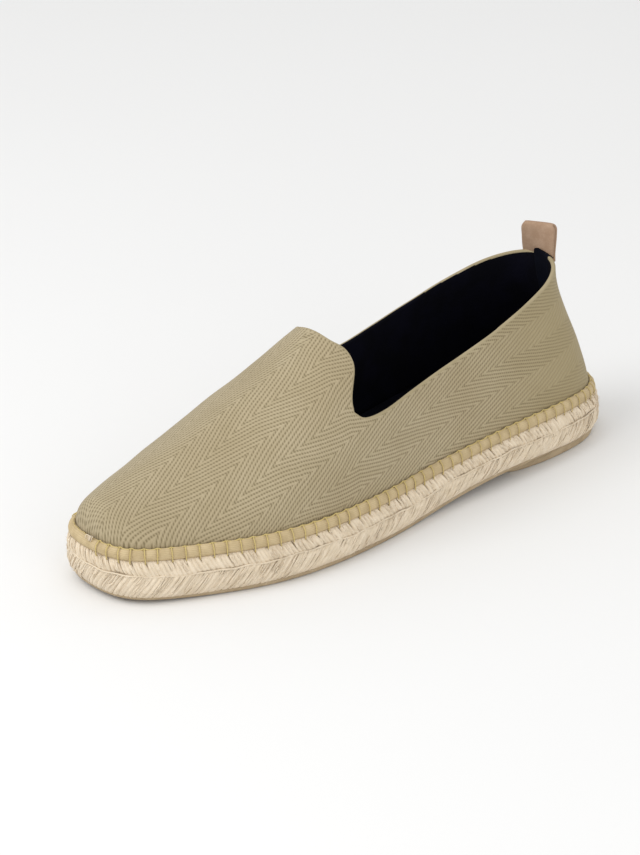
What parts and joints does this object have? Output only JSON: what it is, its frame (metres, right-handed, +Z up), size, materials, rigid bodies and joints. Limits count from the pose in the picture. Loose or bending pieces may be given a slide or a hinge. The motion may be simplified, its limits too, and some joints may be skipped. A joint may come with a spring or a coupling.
{
  "type": "espadrille",
  "caption": "Low slip-on shoe for the left foot: herringbone canvas upper with a tongue-shaped throat, plaited jute sole, rubber outsole with a low heel, and a leather pull tab.",
  "frame": {"origin": "on the floor, under the middle of the shoe's box", "axes": "+Z up from the floor, toe towards -Y, heel towards +Y, the outer side of the left foot towards +X"},
  "size_m": [0.1002, 0.285, 0.1021],
  "materials": {
    "heel_lift": "matt tan-brown rubber",
    "outsole": "matt tan-brown rubber",
    "jute_sole": "pale natural jute plait, hairy and matt",
    "rand": "plain cotton tape, matt, blanket stitched",
    "insole": "dark navy cotton cover, matt",
    "upper": "khaki herringbone cotton canvas, matt",
    "pull_tab": "soft tan nubuck leather"
  },
  "bodies": {
    "root": {"heel_lift": "heel_lift", "outsole": "outsole", "jute_sole": "jute_sole", "rand": "rand", "insole": "insole", "upper": "upper", "pull_tab": "pull_tab"}
  },
  "joints": []
}
